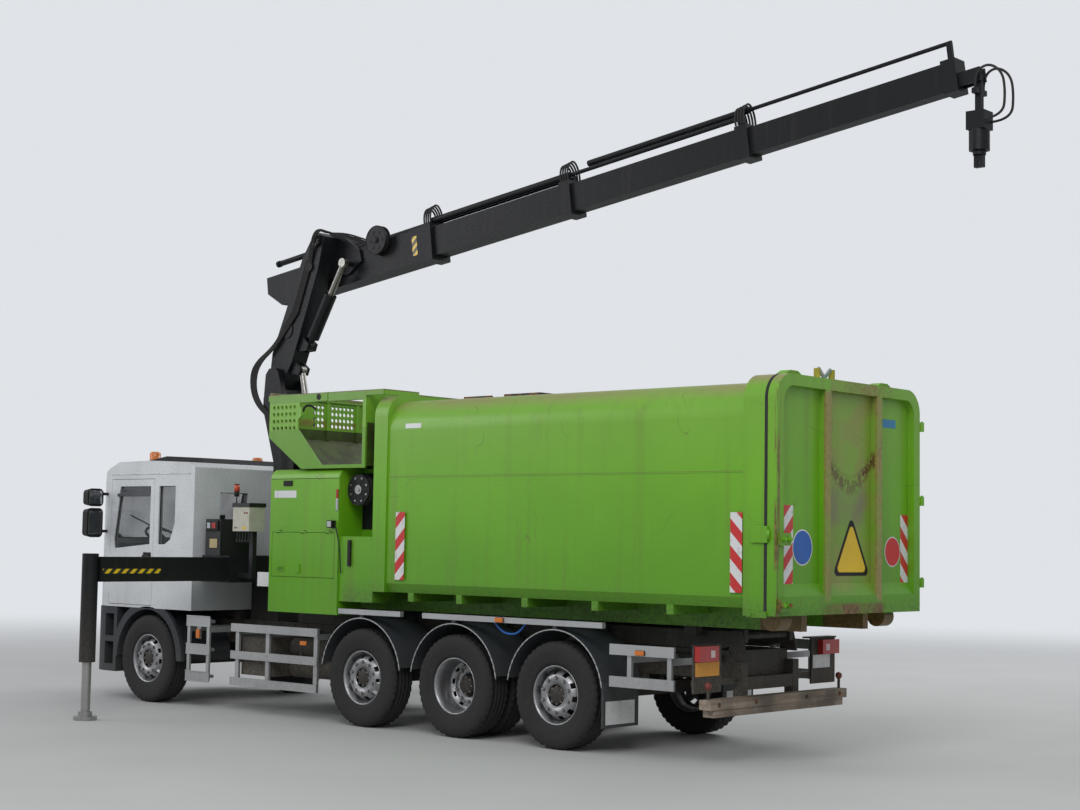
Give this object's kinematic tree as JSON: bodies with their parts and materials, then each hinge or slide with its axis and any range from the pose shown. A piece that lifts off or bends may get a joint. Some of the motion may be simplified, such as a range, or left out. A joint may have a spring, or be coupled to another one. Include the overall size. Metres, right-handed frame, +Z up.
{
  "type": "refuse lorry with loader crane",
  "caption": "Four-axle refuse lorry: forward-control cab, slewing loader crane, outriggers and hook-lift press container.",
  "frame": {"origin": "middle of the overall box, on the ground", "axes": "+X towards the cab's front, +Y to the driver's left, +Z up"},
  "size_m": [11.8093, 6.2358, 6.7061],
  "materials": {
    "chassis_paint": "satin black paint, dusty",
    "engine_iron": "rough cast",
    "cab_white": "gloss white paint",
    "glass": "clear with a slight tint",
    "cab_trim": "grain",
    "grey_plastic": "moulded, dusty",
    "bare_aluminium": "extruded, weathered",
    "weathered_wood": "bare, weathered",
    "lamp_lens": "moulded lenses",
    "black_plastic": "moulded",
    "crane_black": "satin black paint",
    "lime_green": "gloss paint, worn and dirty",
    "rusty_steel": "rusted",
    "rod_chrome": "polished",
    "hose_rubber": "matt hose rubber",
    "tyre": "rubber, dusty"
  },
  "bodies": {
    "truck": {"chassis_frame": "chassis_paint", "axle_beams": "chassis_paint", "engine_block": "engine_iron", "cab_shell": "cab_white", "cab_glass": "glass", "windscreen": "glass", "cab_interior": "cab_trim", "front_bumper": "grey_plastic", "mudguards": "grey_plastic", "side_guards": "bare_aluminium", "chassis_tanks": "chassis_paint", "buffer_beam": "weathered_wood", "rear_brackets": "chassis_paint", "lamps": "lamp_lens", "cab_fittings": "black_plastic", "crane_base": "crane_black", "crane_controls": "crane_black"},
    "cab_door_left": {"cab_door_left": "cab_white", "door_glass_left": "glass"},
    "cab_door_right": {"cab_door_right": "cab_white", "door_glass_right": "glass"},
    "load_body": {"hook_frame": "chassis_paint", "container_body": "lime_green", "press_housing": "lime_green", "press_hopper": "lime_green", "machine_cabinet": "lime_green", "roof_fittings": "rusty_steel", "press_fittings": "black_plastic"},
    "crane_column": {"crane_column": "crane_black"},
    "inner_boom": {"inner_boom": "crane_black"},
    "outer_boom": {"outer_boom": "crane_black"},
    "boom_extension_1": {"boom_extension_1": "crane_black"},
    "boom_extension_2": {"boom_extension_2": "crane_black"},
    "boom_extension_3": {"boom_extension_3": "crane_black"},
    "tip_link": {"tip_link": "crane_black", "tip_hoses": "hose_rubber"},
    "rotator": {"rotator": "crane_black"},
    "lift_barrel": {"lift_barrel": "crane_black"},
    "lift_rod": {"lift_rod": "rod_chrome"},
    "fold_barrel": {"fold_barrel": "crane_black"},
    "fold_rod": {"fold_rod": "rod_chrome"},
    "rear_door": {"rear_door": "lime_green"},
    "cabinet_flap": {"cabinet_flap": "lime_green"},
    "outrigger_beam_left": {"outrigger_beam_left": "crane_black"},
    "outrigger_beam_right": {"outrigger_beam_right": "crane_black"},
    "outrigger_leg_left": {"outrigger_leg_left": "rod_chrome"},
    "outrigger_leg_right": {"outrigger_leg_right": "rod_chrome"},
    "knuckle_front_left": {"knuckle_front_left": "chassis_paint"},
    "knuckle_front_right": {"knuckle_front_right": "chassis_paint"},
    "knuckle_tag_left": {"knuckle_tag_left": "chassis_paint"},
    "knuckle_tag_right": {"knuckle_tag_right": "chassis_paint"},
    "wheel_front_left": {"wheel_front_left": "tyre"},
    "wheel_front_right": {"wheel_front_right": "tyre"},
    "wheel_pusher_left": {"wheel_pusher_left": "tyre"},
    "wheel_pusher_right": {"wheel_pusher_right": "tyre"},
    "wheel_drive_left": {"wheel_drive_left": "tyre"},
    "wheel_drive_right": {"wheel_drive_right": "tyre"},
    "wheel_tag_left": {"wheel_tag_left": "tyre"},
    "wheel_tag_right": {"wheel_tag_right": "tyre"}
  },
  "joints": [
    {"name": "steer_front_left", "type": "hinge", "parent": "truck", "child": "knuckle_front_left", "pos_m": [4.50651, 0.985, 0.52], "axis": [0, 0, 1], "range_deg": [-38, 38]},
    {"name": "steer_front_right", "type": "hinge", "parent": "truck", "child": "knuckle_front_right", "pos_m": [4.50651, -0.985, 0.52], "axis": [0, 0, 1], "range_deg": [-38, 38]},
    {"name": "steer_tag_left", "type": "hinge", "parent": "truck", "child": "knuckle_tag_left", "pos_m": [-1.98349, 0.985, 0.52], "axis": [0, 0, 1], "range_deg": [-12, 12]},
    {"name": "steer_tag_right", "type": "hinge", "parent": "truck", "child": "knuckle_tag_right", "pos_m": [-1.98349, -0.985, 0.52], "axis": [0, 0, 1], "range_deg": [-12, 12]},
    {"name": "roll_front_left", "type": "hinge", "parent": "knuckle_front_left", "child": "wheel_front_left", "pos_m": [4.50651, 1.085, 0.52], "axis": [0, 1, 0], "continuous": true},
    {"name": "roll_front_right", "type": "hinge", "parent": "knuckle_front_right", "child": "wheel_front_right", "pos_m": [4.50651, -1.085, 0.52], "axis": [0, 1, 0], "continuous": true},
    {"name": "roll_pusher_left", "type": "hinge", "parent": "truck", "child": "wheel_pusher_left", "pos_m": [0.74651, 1.085, 0.52], "axis": [0, 1, 0], "continuous": true},
    {"name": "roll_pusher_right", "type": "hinge", "parent": "truck", "child": "wheel_pusher_right", "pos_m": [0.74651, -1.085, 0.52], "axis": [0, 1, 0], "continuous": true},
    {"name": "roll_drive_left", "type": "hinge", "parent": "truck", "child": "wheel_drive_left", "pos_m": [-0.62349, 0.84, 0.52], "axis": [0, 1, 0], "continuous": true},
    {"name": "roll_drive_right", "type": "hinge", "parent": "truck", "child": "wheel_drive_right", "pos_m": [-0.62349, -0.84, 0.52], "axis": [0, 1, 0], "continuous": true},
    {"name": "roll_tag_left", "type": "hinge", "parent": "knuckle_tag_left", "child": "wheel_tag_left", "pos_m": [-1.98349, 1.085, 0.52], "axis": [0, 1, 0], "continuous": true},
    {"name": "roll_tag_right", "type": "hinge", "parent": "knuckle_tag_right", "child": "wheel_tag_right", "pos_m": [-1.98349, -1.085, 0.52], "axis": [0, 1, 0], "continuous": true},
    {"name": "cab_door_left_swing", "type": "hinge", "parent": "truck", "child": "cab_door_left", "pos_m": [5.30151, 1.245, 1.9], "axis": [0, 0, -1], "range_deg": [0, 75]},
    {"name": "cab_door_right_swing", "type": "hinge", "parent": "truck", "child": "cab_door_right", "pos_m": [5.30151, -1.245, 1.9], "axis": [0, 0, 1], "range_deg": [0, 75]},
    {"name": "slew", "type": "hinge", "parent": "truck", "child": "crane_column", "pos_m": [3.23651, 0, 1.86], "axis": [0, 0, 1], "range_deg": [-290, 110]},
    {"name": "luff", "type": "hinge", "parent": "crane_column", "child": "inner_boom", "pos_m": [3.55651, 0, 3.95], "axis": [0, 1, 0], "range_deg": [-16, 14]},
    {"name": "fold", "type": "hinge", "parent": "inner_boom", "child": "outer_boom", "pos_m": [2.87651, -0.145, 5.58], "axis": [0, 1, 0], "range_deg": [-16, 60]},
    {"name": "extend_1", "type": "slide", "parent": "outer_boom", "child": "boom_extension_1", "axis": [-0.9912, 0, 0.1323], "range_m": [-1.95, 0]},
    {"name": "extend_2", "type": "slide", "parent": "boom_extension_1", "child": "boom_extension_2", "axis": [-0.9912, 0, 0.1323], "range_m": [-1.95, 0]},
    {"name": "extend_3", "type": "slide", "parent": "boom_extension_2", "child": "boom_extension_3", "axis": [-0.9912, 0, 0.1323], "range_m": [-1.95, 0]},
    {"name": "tip_swing", "type": "hinge", "parent": "boom_extension_3", "child": "tip_link", "pos_m": [-5.70151, -0.29, 6.31596], "axis": [0, 1, 0], "range_deg": [-40, 40]},
    {"name": "rotator_turn", "type": "hinge", "parent": "tip_link", "child": "rotator", "pos_m": [-5.70151, -0.29, 5.81596], "axis": [0, 0, 1], "continuous": true},
    {"name": "lift_barrel_swing", "type": "hinge", "parent": "crane_column", "child": "lift_barrel", "pos_m": [2.94651, 0, 2.85], "axis": [0, 1, 0], "range_deg": [-0.1179, 0.1094]},
    {"name": "lift_rod_travel", "type": "slide", "parent": "lift_barrel", "child": "lift_rod", "axis": [0.2389, 0, 0.971], "range_m": [-0.09402, 0.08251]},
    {"name": "fold_barrel_swing", "type": "hinge", "parent": "inner_boom", "child": "fold_barrel", "pos_m": [3.10711, 0, 4.32596], "axis": [0, 1, 0], "range_deg": [-3.55, 0.98]},
    {"name": "fold_rod_travel", "type": "slide", "parent": "fold_barrel", "child": "fold_rod", "axis": [-0.514, 0, 0.8578], "range_m": [-0.12672, 0.46969]},
    {"name": "outrigger_left_slide", "type": "slide", "parent": "truck", "child": "outrigger_beam_left", "axis": [0, 1, 0], "range_m": [-1.5, 0]},
    {"name": "outrigger_left_leg", "type": "slide", "parent": "outrigger_beam_left", "child": "outrigger_leg_left", "axis": [0, 0, 1], "range_m": [0, 0.5]},
    {"name": "outrigger_right_slide", "type": "slide", "parent": "truck", "child": "outrigger_beam_right", "axis": [0, -1, 0], "range_m": [-1.5, 0]},
    {"name": "outrigger_right_leg", "type": "slide", "parent": "outrigger_beam_right", "child": "outrigger_leg_right", "axis": [0, 0, 1], "range_m": [0, 0.5]},
    {"name": "bed_tip", "type": "hinge", "parent": "truck", "child": "load_body", "pos_m": [-3.57349, 0, 1.14], "axis": [0, -1, 0], "range_deg": [0, 16]},
    {"name": "rear_door_swing", "type": "hinge", "parent": "load_body", "child": "rear_door", "pos_m": [-4.54749, -1.29, 2.45], "axis": [0, 0, 1], "range_deg": [0, 265]},
    {"name": "cabinet_flap_swing", "type": "hinge", "parent": "load_body", "child": "cabinet_flap", "pos_m": [1.69851, 1.25, 2.06], "axis": [1, 0, 0], "range_deg": [0, 100]}
  ],
  "couplings": [
    {"joint": "steer_front_right", "follows": "steer_front_left", "ratio": 1},
    {"joint": "steer_tag_left", "follows": "steer_front_left", "ratio": -0.305},
    {"joint": "steer_tag_right", "follows": "steer_front_left", "ratio": -0.305},
    {"joint": "extend_2", "follows": "extend_1", "ratio": 1},
    {"joint": "extend_3", "follows": "extend_1", "ratio": 1},
    {"joint": "lift_barrel_swing", "follows": "luff", "ratio": 0.004161},
    {"joint": "lift_rod_travel", "follows": "luff", "m_per_rad": 0.32951},
    {"joint": "fold_barrel_swing", "follows": "fold", "ratio": -0.057269},
    {"joint": "fold_rod_travel", "follows": "fold", "m_per_rad": 0.44661}
  ]
}
